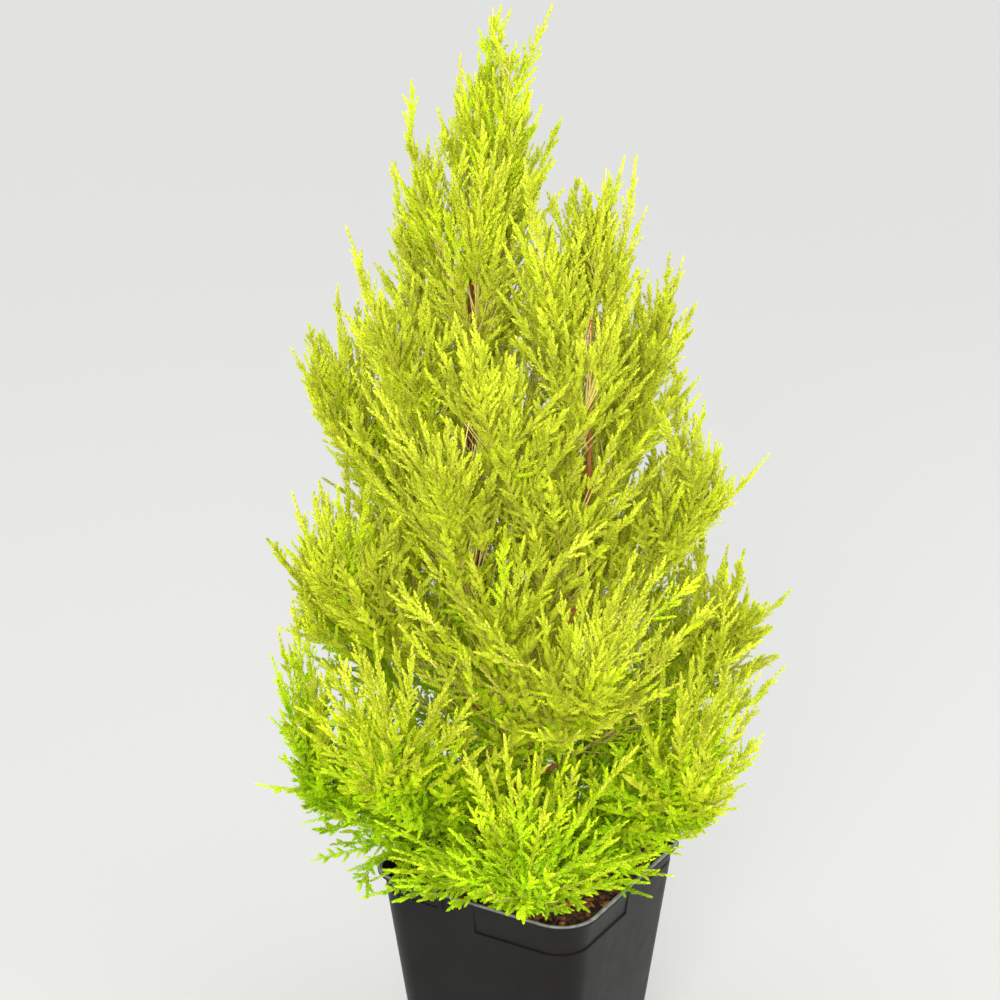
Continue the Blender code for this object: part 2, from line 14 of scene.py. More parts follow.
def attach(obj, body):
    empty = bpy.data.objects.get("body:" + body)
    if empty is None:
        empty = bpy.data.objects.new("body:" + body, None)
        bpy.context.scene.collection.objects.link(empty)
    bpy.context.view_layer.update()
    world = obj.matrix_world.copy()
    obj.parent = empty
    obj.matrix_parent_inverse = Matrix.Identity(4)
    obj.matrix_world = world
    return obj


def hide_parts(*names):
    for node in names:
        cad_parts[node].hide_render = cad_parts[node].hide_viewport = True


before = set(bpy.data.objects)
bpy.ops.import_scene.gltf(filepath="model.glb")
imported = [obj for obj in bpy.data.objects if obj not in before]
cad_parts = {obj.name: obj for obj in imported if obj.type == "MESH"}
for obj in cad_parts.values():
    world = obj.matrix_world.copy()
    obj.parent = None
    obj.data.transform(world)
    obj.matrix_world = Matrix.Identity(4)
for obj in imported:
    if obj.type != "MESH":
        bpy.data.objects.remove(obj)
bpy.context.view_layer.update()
print("frame loaded,", len(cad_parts), "nodes")

scene = bpy.context.scene
scene.view_settings.view_transform = "Standard"
up = Vector((0, 0, 1))
goldenTurn = radians(137.5)

# the plant stands turned in its pot, so its own sizes are worked out unturned
plantTurn = radians(31)
plantMatrix = np.array(Matrix.Rotation(plantTurn, 3, "Z"))


# Materials

def newMaterial(name, roughness=0.6):
    material = bpy.data.materials.new(name)
    material.use_nodes = True
    tree = material.node_tree
    shader = tree.nodes["Principled BSDF"]
    shader.inputs["Roughness"].default_value = roughness
    return material, tree, shader


def addNode(tree, kind, links=(), **values):
    node = tree.nodes.new(kind)
    for key, value in values.items():
        if hasattr(node, key):
            setattr(node, key, value)
        else:
            node.inputs[key.replace("_", " ")].default_value = value
    for socket, source in links:
        tree.links.new(source, node.inputs[socket])
    return node


def linear(colour):
    # 0 to 255 screen colour to the shader's linear one
    return [((c / 255 + 0.055) / 1.055) ** 2.4 if c > 10 else c / 255 / 12.92 for c in colour] + [1]


def objectNoise(tree, scale, stretch=(1, 1, 1), detail=4, rough=0.6):
    place = addNode(tree, "ShaderNodeTexCoord")
    mapping = addNode(tree, "ShaderNodeMapping", [("Vector", place.outputs["Object"])], Scale=stretch)
    links = [("Vector", mapping.outputs[0])]
    return addNode(tree, "ShaderNodeTexNoise", links, Scale=scale, Detail=detail, Roughness=rough)


def colourRamp(tree, factor, stops):
    ramp = addNode(tree, "ShaderNodeValToRGB", [("Fac", factor)])
    marks = ramp.color_ramp.elements
    while len(marks) < len(stops):
        marks.new(0.5)
    for mark, (place, colour) in zip(marks, stops):
        mark.position = place
        mark.color = linear(colour)
    return ramp


def addBump(tree, shader, height, strength, distance):
    bump = addNode(tree, "ShaderNodeBump", [("Height", height)], Strength=strength, Distance=distance)
    tree.links.new(bump.outputs[0], shader.inputs["Normal"])


def shootMaterial(name, colour, spread=0.14):
    material, tree, shader = newMaterial(name, 0.52)
    shade = objectNoise(tree, 46, detail=3)
    dark = [c * (1 - spread) for c in colour]
    light = [min(255, c * (1 + spread * 0.7)) for c in colour]
    ramp = colourRamp(tree, shade.outputs[0], [(0.32, dark), (0.68, light)])
    tree.links.new(ramp.outputs[0], shader.inputs["Base Color"])
    shader.inputs["Specular IOR Level"].default_value = 0.08
    return material


def barkMaterial(name, dark, mid, light, scale=260):
    material, tree, shader = newMaterial(name, 0.78)
    streaks = objectNoise(tree, scale, (1, 1, 0.18), 6, 0.65)
    ramp = colourRamp(tree, streaks.outputs[0], [(0.30, dark), (0.50, mid), (0.72, light)])
    tree.links.new(ramp.outputs[0], shader.inputs["Base Color"])
    flakes = objectNoise(tree, scale * 1.6, (1, 1, 0.3), 5)
    addBump(tree, shader, flakes.outputs[0], 0.6, 0.0006)
    return material


def plasticMaterial():
    material, tree, shader = newMaterial("charcoalPlastic", 0.40)
    cloud = objectNoise(tree, 24, detail=5)
    ramp = colourRamp(tree, cloud.outputs[0], [(0.30, (17, 16, 15)), (0.75, (26, 25, 23))])
    place = addNode(tree, "ShaderNodeTexCoord")
    level = addNode(tree, "ShaderNodeSeparateXYZ", [("Vector", place.outputs["Object"])])
    # painted highlight: the lip's upper edge is painted pale grey where the rolled lip catches the light,
    # broken up by noise
    low, high = (pot["height"] - depth for depth in pot["highlightDepths"])
    lip = addNode(tree, "ShaderNodeMapRange", [("Value", level.outputs["Z"])], From_Min=low, From_Max=high)
    highlightBreakup = objectNoise(tree, 160, detail=3)
    lipHighlightMask = addNode(tree, "ShaderNodeMath", [(0, lip.outputs[0]), (1, highlightBreakup.outputs[0])], operation="MULTIPLY")
    links = [("Factor", lipHighlightMask.outputs[0]), (6, ramp.outputs[0])]
    pale = addNode(tree, "ShaderNodeMix", links, data_type="RGBA")
    # the pale grey of the lip's painted highlight
    pale.inputs[7].default_value = linear((188, 188, 184))
    tree.links.new(pale.outputs[2], shader.inputs["Base Color"])
    sheen = objectNoise(tree, 90, detail=5)
    wear = addNode(tree, "ShaderNodeMapRange", [("Value", sheen.outputs[0])], To_Min=0.34, To_Max=0.50)
    shader.inputs["Specular IOR Level"].default_value = 0.16
    tree.links.new(wear.outputs[0], shader.inputs["Roughness"])
    grain = objectNoise(tree, 900, detail=2)
    addBump(tree, shader, grain.outputs[0], 0.10, 0.0002)
    return material


def chipMaterial(name, dark, light):
    material, tree, shader = newMaterial(name, 0.9)
    fibre = objectNoise(tree, 420, (1, 0.35, 1), 6)
    ramp = colourRamp(tree, fibre.outputs[0], [(0.3, dark), (0.7, light)])
    tree.links.new(ramp.outputs[0], shader.inputs["Base Color"])
    addBump(tree, shader, fibre.outputs[0], 0.7, 0.0008)
    return material


# Putting pieces in the frame

def addPiece(name, mesh, material, slotName, nodes=()):
    piece = bpy.data.objects.new(name, mesh)
    scene.collection.objects.link(piece)
    mesh.materials.append(material)
    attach(piece, "root")
    if nodes:
        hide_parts(*nodes)
    return piece


def bmeshPiece(name, maker, material, slotName, nodes=(), smoothAngle=40):
    mesh = bpy.data.meshes.new(name)
    maker.to_mesh(mesh)
    maker.free()
    mesh.shade_smooth()
    mesh.set_sharp_from_angle(angle=radians(smoothAngle))
    return addPiece(name, mesh, material, slotName, nodes)


def arrayPiece(name, points, faces, material, slotName, nodes=()):
    # one mesh from a table of points and a table of faces with the same number of corners
    mesh = bpy.data.meshes.new(name)
    mesh.vertices.add(len(points))
    mesh.vertices.foreach_set("co", (points @ plantMatrix.T).astype(np.float32).ravel())
    mesh.loops.add(faces.size)
    mesh.loops.foreach_set("vertex_index", faces.astype(np.int32).ravel())
    mesh.polygons.add(len(faces))
    mesh.polygons.foreach_set("loop_start", np.arange(0, faces.size, faces.shape[1], dtype=np.int32))
    mesh.update(calc_edges=True)
    return addPiece(name, mesh, material, slotName, nodes)


# Trunk, second leader and limbs, by the same rule as the solids

pot = {
    "rimSide": 0.154, "footSide": 0.106, "height": 0.200, "rimCorner": 0.022, "footCorner": 0.016,
    "wall": 0.0014, "floor": 0.0020, "bandProud": 0.0016, "lipFlare": 0.0022, "lipHeight": 0.0030,
    "tallPad": 0.024, "shortPad": 0.0135, "padEdge": 0.0005, "padProud": 0.0013,
    # the last entry gives the depths below the top over which the lip's painted highlight fades in
    "slitEdge": 0.0003, "slitDepth": 0.0008, "highlightDepths": (0.0010, 0.0003),
    "cornerSteps": 8, "drainRadius": 0.006, "drainReach": 0.033,
}
ground = pot["height"] - 0.010

trunk = {
    "crownTop": 0.546, "top": 0.434, "foot": 0.0052, "flare": 0.0040, "flareHeight": 0.012,
    "tip": 0.0011, "bend": 0.034, "bendSpan": 0.64, "start": -0.004, "sunk": 0.010,
}
second = {
    "fork": 0.036, "top": 0.457, "limbTop": 0.362, "foot": 0.0036, "tip": 0.0010,
    "swing": 0.044, "forward": -0.020, "rise": 0.235,
}
crown = {
    "bulge": 0.165, "bulgeHeight": 0.115, "taper": 0.235, "fall": 0.34, "shoulder": 0.355, "power": 1.35,
    "shift": 0.002, "lean": -0.028, "lowSideLoss": 0.24,
}
limb = {
    "count": 26, "lowest": 0.012, "highest": 0.388, "crowding": 1.7, "firstAzimuth": 270,
    "start": (2, 74, 0.55), "end": (2, 86, 0.40), "droop": 22, "droopHeight": 0.040,
    "boughLimit": 0.120, "boughShare": 0.20, "lowBoughShare": 0.10, "boughFoot": 0.0022,
    "stem": 0.0013, "stemTip": 0.0005, "clear": 0.0030, "clearFrom": 0.012,
    "turnStep": radians(4), "turnSteps": 8, "slopeSpread": 3, "reachSpread": (0.94, 1.06),
    "shortest": 0.060, "reachStep": 0.002, "seatStep": 0.0001, "massWidths": (0.064, 0.030),
}
inner = {"count": 4, "low": 0.034, "high": 0.100, "slopes": (50, 74), "first": 262, "reach": 0.50}
fan = {"count": 4, "low": 0.180, "high": 0.325, "spread": 125}
plume = {"width": 0.024, "slopes": (84, 86)}
gap = 0.0003

Path = namedtuple("Path", "root azimuth start end length")
Mass = namedtuple("Mass", "name path start width")


def trunkPoint(height):
    lean = trunk["start"] - trunk["bend"] * sin(pi * max(height, 0) / trunk["bendSpan"])
    return Vector((lean, 0, pot["height"] + height))


def trunkRadius(height):
    above = height + trunk["sunk"]
    share = min(1, above / (trunk["top"] + trunk["sunk"]))
    taper = trunk["foot"] + (trunk["tip"] - trunk["foot"]) * share**0.85
    return taper + trunk["flare"] * max(0, 1 - above / trunk["flareHeight"]) ** 2


def secondPoint(height):
    start = trunkPoint(second["fork"])
    swing = sin(min(1, (height - second["fork"]) / second["rise"]) * pi / 2)
    x, y = start.x + second["swing"] * swing, start.y + second["forward"] * swing
    return Vector((x, y, pot["height"] + height))


def secondRadius(height):
    share = max(0, (height - second["fork"]) / (second["limbTop"] - second["fork"]))
    return second["foot"] + (second["tip"] - second["foot"]) * share**0.85


def secondStart():
    # the height where the second leader first stands clear of the trunk
    def apart(height):
        return (secondPoint(height) - trunkPoint(height)).length

    height = second["fork"]
    while apart(height) < trunkRadius(height) + secondRadius(height) + gap:
        height += 0.0005
    return height


def pathPoint(path, along):
    sweep = (path.end - path.start) / path.length
    low, high = path.start, path.start + sweep * along
    if abs(sweep * along) < 1e-6:
        out, rise = along * cos(low), along * sin(low)
    else:
        out, rise = (sin(high) - sin(low)) / sweep, (cos(low) - cos(high)) / sweep
    return path.root + Vector((out * cos(path.azimuth), out * sin(path.azimuth), rise))


def pathAlong(path, along):
    rise = path.start + (path.end - path.start) * along / path.length
    return Vector((cos(rise) * cos(path.azimuth), cos(rise) * sin(path.azimuth), sin(rise)))


def ringPoints(centre, along, radius, sides, phase=0.0):
    across = along.orthogonal().normalized()
    other = along.cross(across).normalized()
    turns = [phase + 2 * pi * i / sides for i in range(sides)]
    return [centre + radius * (cos(turn) * across + sin(turn) * other) for turn in turns]


def footDistance(path, radius, sides, phase, carrierPoint, carrierRadius):
    along = 0.0
    while True:
        loop = ringPoints(pathPoint(path, along), pathAlong(path, along), radius, sides, phase)
        marks = loop + [(a + b) / 2 for a, b in zip(loop, loop[1:] + loop[:1])]
        heights = [mark.z - pot["height"] for mark in marks]
        if all((mark - carrierPoint(h)).length > carrierRadius(h) + gap for mark, h in zip(marks, heights)):
            return along
        along += limb["seatStep"]


def crownRadius(height, cosAzimuth):
    # height and cosAzimuth may be arrays
    above = np.clip(height, crown["bulgeHeight"], crown["shoulder"]) - crown["bulgeHeight"]
    below = np.maximum(crown["bulgeHeight"] - height, 0)
    cap = np.clip((height - crown["shoulder"]) / (trunk["crownTop"] - crown["shoulder"]), 0, 1)
    loss = crown["lowSideLoss"] * np.maximum(cosAzimuth, 0) * np.minimum(1, below / crown["bulgeHeight"])
    flank = crown["bulge"] - crown["taper"] * above - crown["fall"] * below
    return flank * (1 - cap ** crown["power"]) * (1 - loss)


def crownDepth(points):
    # how far inside the crown's outline each point lies
    height = points[:, 2] - pot["height"]
    out = points[:, 0] - crown["shift"] - crown["lean"] * height / trunk["crownTop"]
    reach = np.hypot(out, points[:, 1])
    return crownRadius(height, out / np.maximum(reach, 1e-9)) - reach


def slopesAt(height):
    share = height / limb["highest"]
    start = limb["start"][0] + (limb["start"][1] - limb["start"][0]) * share ** limb["start"][2]
    end = limb["end"][0] + (limb["end"][1] - limb["end"][0]) * share ** limb["end"][2]
    return start, end - limb["droop"] * max(0, 1 - height / limb["droopHeight"])


def limbPath(root, azimuth, slopes, reach, rule):
    spread = limb["slopeSpread"]
    start, end = (radians(slope + rule.uniform(-spread, spread)) for slope in slopes)
    stretch = rule.uniform(*limb["reachSpread"])
    length = limb["shortest"]
    while True:
        path = Path(root, azimuth, start, end, length)
        point = pathPoint(path, length)
        height = point.z - pot["height"]
        centre = crown["shift"] + crown["lean"] * height / trunk["crownTop"]
        if hypot(point.x - centre, point.y) >= reach * crownRadius(height, cos(azimuth)):
            return path._replace(length=length * stretch)
        length += limb["reachStep"]


def pathSamples(path, start, end, radius):
    return [(pathPoint(path, along), radius) for along in np.linspace(start, end, 40)]


def clearance(path, taken):
    centres = np.array([centre for centre, radius in taken])
    radii = np.array([radius for centre, radius in taken])
    points = np.array([pathPoint(path, along) for along in np.linspace(limb["clearFrom"], path.length, 50)])
    return (np.sqrt(((points[:, None] - centres[None]) ** 2).sum(-1)) - radii).min()


def turnedAside(path, taken):
    turns = sorted(range(-limb["turnSteps"], limb["turnSteps"] + 1), key=abs)
    paths = [path._replace(azimuth=path.azimuth + turn * limb["turnStep"]) for turn in turns]
    for turned in paths:
        if clearance(turned, taken) > limb["clear"]:
            return turned
    return max(paths, key=lambda turned: clearance(turned, taken))


def trunkLimbs():
    rule = Random(5)
    for i in range(limb["count"]):
        share = (i / (limb["count"] - 1)) ** limb["crowding"]
        height = limb["lowest"] + (limb["highest"] - limb["lowest"]) * share
        azimuth = radians(limb["firstAzimuth"]) + i * goldenTurn
        yield limbPath(trunkPoint(height), azimuth, slopesAt(height), 1, rule)


def innerLimbs():
    rule = Random(6)
    for i in range(inner["count"]):
        height = inner["low"] + (inner["high"] - inner["low"]) * i / (inner["count"] - 1)
        azimuth = radians(inner["first"]) + i * goldenTurn
        yield limbPath(trunkPoint(height), azimuth, inner["slopes"], inner["reach"], rule)


def fanLimbs():
    rule = Random(8)
    for i in range(fan["count"]):
        height = fan["low"] + (fan["high"] - fan["low"]) * i / (fan["count"] - 1)
        turn = (i * 2) % fan["count"] / (fan["count"] - 1)
        azimuth = radians(fan["spread"] * (2 * turn - 1))
        yield limbPath(secondPoint(height), azimuth, slopesAt(height), 1, rule)


def planLimbs():
    masses, boughs = [], []
    leader = [(secondPoint(h), secondRadius(h)) for h in np.linspace(secondStart(), second["limbTop"], 110)]
    taken = list(leader)

    def addMass(path, start, height):
        wide, narrow = limb["massWidths"]
        width = wide + (narrow - wide) * min(1, height / limb["highest"])
        masses.append(Mass(f"foliage_{len(masses) + 1}", path, start, width))

    for path in [*trunkLimbs(), *innerLimbs()]:
        height = path.root.z - pot["height"]
        path = turnedAside(path, taken)
        wooden = height < limb["boughLimit"] and path.start < radians(inner["slopes"][0] - 5)
        radius, sides, phase = (limb["boughFoot"], 5, 0) if wooden else (limb["stem"], 3, 0.3)
        start = footDistance(path, radius, sides, phase, trunkPoint, trunkRadius)
        taken += pathSamples(path, start, path.length, radius)
        if wooden:
            share = limb["lowBoughShare" if height < limb["droopHeight"] else "boughShare"]
            end = start + share * path.length
            boughs.append((f"bough_{len(boughs) + 1}", path, start, end))
            start = end + gap
        addMass(path, start, height)
    taken = taken[len(leader):]
    for path in fanLimbs():
        height = path.root.z - pot["height"]
        path = turnedAside(path, taken)
        start = footDistance(path, limb["stem"], 3, 0.3, secondPoint, secondRadius)
        taken += pathSamples(path, start, path.length, limb["stem"])
        addMass(path, start, height)
    tops = (
        ("main_plume", trunkPoint(trunk["top"]), trunk["crownTop"] - trunk["top"], 0.0),
        ("second_plume", secondPoint(second["limbTop"]), second["top"] - second["limbTop"], 0.1),
    )
    for name, root, length, azimuth in tops:
        start, end = (radians(slope) for slope in plume["slopes"])
        masses.append(Mass(name, Path(root, azimuth, start, end, length), 2 * gap, plume["width"]))
    return masses, boughs


masses, boughs = planLimbs()
print("limbs planned:", len(masses), "masses,", len(boughs), "boughs")


# Straight tubes that are then shaped

def tubeRows(sides, rows):
    # a capped tube of unit radius, as rows of vertices in order round it
    maker = bmesh.new()
    bmesh.ops.create_circle(maker, cap_ends=True, segments=sides, radius=1)
    edges = list(maker.edges)
    for _ in range(rows - 1):
        grown = bmesh.ops.extrude_edge_only(maker, edges=edges)["geom"]
        fresh = {item for item in grown if isinstance(item, bmesh.types.BMVert)}
        edges = [e for e in grown if isinstance(e, bmesh.types.BMEdge) and fresh.issuperset(e.verts)]
        bmesh.ops.translate(maker, verts=list(fresh), vec=(0, 0, 1))
    bmesh.ops.contextual_create(maker, geom=edges)
    grid = [[None] * sides for _ in range(rows)]
    for vert in maker.verts:
        turn = (np.arctan2(vert.co.y, vert.co.x) - pi / 2) / (2 * pi / sides)
        grid[round(vert.co.z)][round(turn) % sides] = vert
    return maker, grid


# Bark on the trunk, the second leader and the boughs

bark = {"sides": 14, "relief": 0.13, "reliefSize": 260, "reliefStretch": 0.25, "stepLength": 0.0045}


def barkTube(name, point, radius, low, high, material):
    steps = max(8, round((high - low) / bark["stepLength"]))
    maker, grid = tubeRows(bark["sides"], steps + 1)
    turn = Matrix.Rotation(plantTurn, 3, "Z")
    for i, row in enumerate(grid):
        along = low + (high - low) * i / steps
        ahead = (point(along + 0.0005) - point(along - 0.0005)).normalized()
        side = ahead.cross(Vector((0.13, 0.99, 0.03)) if ahead.z > 0.8 else up).normalized()
        other = side.cross(ahead)
        for j, vert in enumerate(row):
            aside = 2 * pi * j / bark["sides"]
            out = cos(aside) * side + sin(aside) * other
            spot = point(along) + radius(along) * out
            grain = Vector((spot.x, spot.y, spot.z * bark["reliefStretch"]))
            flakes = noise.noise(grain * bark["reliefSize"])
            vert.co = turn @ (point(along) + radius(along) * (1 + bark["relief"] * flakes) * out)
    bmesh.ops.recalc_face_normals(maker, faces=maker.faces)
    bmeshPiece(name + "Bark", maker, material, "bark", [name], 60)


redBark = barkMaterial("redBark", (70, 36, 20), (128, 68, 36), (176, 104, 58))
youngBark = barkMaterial("youngBark", (140, 78, 38), (188, 112, 56), (216, 156, 88), 340)
barkTube("trunk", trunkPoint, trunkRadius, gap - trunk["sunk"], trunk["top"], redBark)
barkTube("second_leader", secondPoint, secondRadius, secondStart(), second["limbTop"], youngBark)
for name, path, start, end in boughs:
    def thickness(along):
        return limb["boughFoot"] + (limb["stem"] - limb["boughFoot"]) * (along - start) / (end - start)
    barkTube(name, lambda along: pathPoint(path, along), thickness, start, end, youngBark)
print("bark made")


# Twigs, each a short arching line that leaves its mass's stem

twig = {
    "spacing": (0.0021, 0.0052), "leanFoot": (62, 44), "leanTip": (28, 15), "leanSpread": 12,
    "roll": 0.9, "steps": 6, "foot": 0.00060, "tip": 0.00026, "slack": 0.006, "firstSeed": 101,
    "lift": (0.36, 0.22), "curl": (0.42, 0.14), "curlHeights": (0.03, 0.12),
    "least": 0.018, "fullness": 1.35, "lengthSpread": (0.72, 1.12), "shorten": 0.86,
    "longest": 0.090, "lowLongest": 0.058, "longHeights": (0.020, 0.060), "longestSpread": (0.75, 1.1),
    "riseHeights": (0.012, 0.040, 0.100), "rise": (-0.16, 0.30, 1.35),
    "stemFrom": 0.30, "tipRun": 0.016, "endHeights": (0.26, 0.36), "endDepth": (-0.040, 0.008),
    "fringe": -0.006, "frontLift": 0.30, "frontFrom": -0.03,
    "lossHeights": (0.12, 0.176, 0.255, 0.300, 0.340, 0.385), "loss": (0, 0.007, 0.011, 0.002, 0, 0.028),
}
rim = {"outside": 0.003, "inside": 0.006, "above": 0.002, "overCompost": 0.003}  # how clear of it twigs stay


def potClear(points):
    # above the rim, outside the pot or over the compost, and nowhere below the fringe's low edge,
    # which lifts to the front
    flat = points @ plantMatrix.T
    across = np.abs(flat[:, :2]).max(1)
    outer = pot["rimSide"] / 2 + pot["lipFlare"] + rim["outside"]
    within = pot["rimSide"] / 2 - rim["inside"]
    height = points[:, 2] - pot["height"]
    inPot = (across < within) & (points[:, 2] > ground + rim["overCompost"])
    free = (height > rim["above"]) | (across > outer) | inPot
    forward = np.minimum(points[:, 1] - twig["frontFrom"], 0)
    return free & (height > twig["fringe"] - twig["frontLift"] * forward)


woodPoints = np.array(
    [[*trunkPoint(h), trunkRadius(h)] for h in np.linspace(-trunk["sunk"], trunk["top"], 120)]
    + [[*secondPoint(h), secondRadius(h)] for h in np.linspace(secondStart(), second["limbTop"], 90)]
)


def woodClear(points, margin):
    reach = np.sqrt(((points[:, None] - woodPoints[None, :, :3]) ** 2).sum(-1)) - woodPoints[None, :, 3]
    return reach.min(1) > margin


def plumeWidth(mass, share):
    # a mass widens over its first quarter and then tapers to its tip
    return mass.width * (0.62 + 1.5 * share if share < 0.25 else (1.333 * (1 - share)) ** 0.62)


def twigLine(root, direct, length, curve):
    marks = np.linspace(0, 1, twig["steps"] + 1)[:, None]
    return np.array(root) + length * (marks * np.array(direct) + marks**2 * np.array(curve))


def sideLoss(points):
    # the side twigs draw in here and there, so that the leading tips stand free
    return np.interp(points[:, 2] - pot["height"], twig["lossHeights"], twig["loss"])


def growTwigs(mass, seed):
    rule = Random(seed)
    span = mass.path.length - mass.start
    wide, narrow = limb["massWidths"]
    high = np.clip((wide - mass.width) / (wide - narrow), 0, 1)
    keys = ("spacing", "leanFoot", "leanTip")
    spacing, leanFoot, leanTip = (np.interp(high, (0, 1), twig[key]) for key in keys)
    rooted = mass.path.root.z - pot["height"]
    rise = float(np.interp(rooted, twig["riseHeights"], twig["rise"]))
    longest = float(np.interp(rooted, twig["longHeights"], (twig["lowLongest"], twig["longest"])))
    lift, curl = (float(np.interp(rooted, twig["curlHeights"], twig[key])) for key in ("lift", "curl"))
    count = max(8, round(span / spacing))
    turn = rule.uniform(0, 2 * pi)
    twigs = []
    for i in range(count):
        share = 0.02 + 0.92 * (i + 0.5) / count
        along = mass.start + share * span
        centre, ahead = pathPoint(mass.path, along), pathAlong(mass.path, along)
        turn += goldenTurn
        out = ringPoints(Vector(), ahead, 1, 1, turn)[0]
        lean = radians(leanFoot + (leanTip - leanFoot) * share + rule.uniform(-1, 1) * twig["leanSpread"])
        rising = rise * (1 - 0.35 * max(0, ahead.z))
        direct = (cos(lean) * ahead + sin(lean) * out + rising * up).normalized()
        roll = Matrix.Rotation(rule.uniform(-twig["roll"], twig["roll"]), 3, direct)
        face = roll @ direct.cross(ahead.cross(out)).normalized()
        length = twig["fullness"] * plumeWidth(mass, share) / sin(lean) * rule.uniform(*twig["lengthSpread"])
        length = min(length, longest * rule.uniform(*twig["longestSpread"]))
        tint = rule.gauss(0, 1)
        curve = lift * (1 - direct.z) * up + rule.uniform(-1, 1) * curl * direct.cross(up)
        while length > twig["least"]:
            line = twigLine(centre, direct, length, curve)
            if (crownDepth(line) > sideLoss(line) - twig["slack"]).all() and potClear(line).all():
                twigs.append((line, np.array(face), tint, 0))
                break
            length *= twig["shorten"]
    # the stem itself, as the last and longest twig, which near the top ends inside the outline
    end = mass.path.length + twig["tipRun"]
    deepEnough = np.interp(rooted, twig["endHeights"], twig["endDepth"])
    while crownDepth(np.array([pathPoint(mass.path, end)]))[0] < deepEnough:
        end -= 0.002
    marks = np.linspace(mass.start + twig["stemFrom"] * span, end, 9)
    line = np.array([pathPoint(mass.path, mark) for mark in marks])
    ahead = pathAlong(mass.path, mass.path.length)
    side = np.array(ahead.cross(Vector((cos(mass.path.azimuth), sin(mass.path.azimuth), 0.3))).normalized())
    twigs.append((line, np.cross(np.array(ahead), side), rule.gauss(0, 1), 1))
    return twigs


filler = {
    "tries": 17000, "halfBox": (0.20, 0.18), "boxHeight": 0.50,
    "bare": (0.0105, 0.0130, 0.0132, 0.0105), "bareHeights": (0.05, 0.12, 0.30, 0.42),
    "shallow": 0.004, "deep": (0.080, 0.050), "deepHeights": (0.06, 0.14),
    "rootsTo": 0.9, "least": 0.02, "reach": 0.100, "bow": 0.12, "ease": 0.45,
    "riseHeights": (0.0, 0.04, 0.10, 0.18), "rise": (-0.15, 0.10, 0.55, 0.76),
}
tipTwig = {
    "depthSpread": 0.010, "reach": 0.150, "shortBy": 0.013,
    "highFrom": 0.08, "highRises": (0.90, 0.70), "lowRises": (0.10, -0.30, -0.80),
}
stemPoints = np.array([
    pathPoint(mass.path, mark)
    for mass in masses
    for mark in np.linspace(mass.start, filler["rootsTo"] * mass.path.length, 40)
])


def twigTo(spot, roots, rise, reach, rule, leading=0):
    # a twig from the nearest of these roots to this spot, sagging a little on its way up
    way = spot - roots
    length = np.linalg.norm(way, axis=1)
    centre = np.array((crown["shift"] + crown["lean"] * (spot[2] - pot["height"]) / trunk["crownTop"], 0))
    outward = (way[:, :2] * (spot[:2] - centre)).sum(1)
    fit = (length < reach) & (length > filler["least"]) & (way[:, 2] > rise * length) & (outward > 0)
    if not fit.any():
        return None
    root = roots[fit][length[fit].argmin()]
    direct = (spot - root) / np.linalg.norm(spot - root)
    span = np.linalg.norm(spot - root) - tipTwig["shortBy"] * leading
    marks = np.linspace(0, 1, twig["steps"] + 1)[:, None]
    sag = filler["bow"] * (1 - abs(direct[2])) * (marks**2 - marks) * np.array(up)
    face = np.cross(direct, np.cross((0, 0, 1.0), direct) + rule.normal(0, 0.3, 3))
    return root + span * (marks * direct + sag), face / np.linalg.norm(face), rule.normal(), leading


def fillPockets(twigs):
    # further twigs to the places inside the outline that no twig comes near
    rule = np.random.default_rng(21)
    x, y = filler["halfBox"]
    low, high = pot["height"], pot["height"] + filler["boxHeight"]
    spots = rule.uniform((-x, -y, low), (x, y, high), (filler["tries"], 3))
    depth = crownDepth(spots) - sideLoss(spots)
    deepest = np.interp(spots[:, 2] - pot["height"], filler["deepHeights"], filler["deep"])
    spots = spots[(depth > filler["shallow"]) & (depth < deepest) & potClear(spots)]
    taken = np.vstack([line for line, *_ in twigs])
    grown = []
    for spot in spots:
        height = spot[2] - pot["height"]
        if ((taken - spot) ** 2).sum(1).min() < np.interp(height, filler["bareHeights"], filler["bare"]) ** 2:
            continue
        rise = np.interp(height, filler["riseHeights"], filler["rise"])
        found = twigTo(spot, stemPoints, rise, filler["reach"], rule)
        if not found:
            roots = np.vstack([stemPoints, taken])
            found = twigTo(spot, roots, rise - filler["ease"], filler["reach"], rule)
        if found and potClear(found[0]).all():
            grown.append(found)
            taken = np.vstack([taken, found[0]])
    return grown


# the leading tips that stand out of the outline from the front, given one by one: distance to the right,
# and height above the rim
leadingTips = [
    (0.009, 0.540), (-0.018, 0.545), (-0.014, 0.538), (-0.009, 0.527), (-0.002, 0.521), (0.019, 0.484),
    (0.046, 0.452), (0.067, 0.424), (0.082, 0.394), (0.101, 0.377), (0.087, 0.336), (0.114, 0.280),
    (0.132, 0.213), (0.149, 0.172), (0.166, 0.109),
    (-0.026, 0.537), (-0.033, 0.532), (-0.042, 0.508), (-0.071, 0.505), (-0.076, 0.474), (-0.082, 0.451),
    (-0.110, 0.411), (-0.117, 0.383), (-0.134, 0.363), (-0.137, 0.335), (-0.146, 0.249), (-0.164, 0.223),
    (-0.155, 0.203), (-0.143, 0.190), (-0.151, 0.180), (-0.159, 0.159), (-0.150, -0.006), (-0.147, 0.024),
    (0.096, -0.002), (0.107, 0.011), (0.121, 0.026), (0.136, 0.048), (0.149, 0.068),
]
# and the low ones in front of them: distance to the right, distance behind the axis, height above the rim
fringeTips = [
    (-0.119, -0.020, 0.008), (-0.106, -0.030, 0.007), (-0.114, -0.030, 0.002), (-0.102, -0.040, -0.001),
    (-0.088, -0.055, 0.008), (-0.069, -0.075, 0.013),
    (0.049, -0.085, 0.018), (0.060, -0.075, 0.023), (0.068, -0.065, 0.023), (0.079, -0.055, 0.022),
    (0.086, -0.045, 0.026), (0.097, -0.040, 0.026), (0.108, -0.030, 0.035),
]


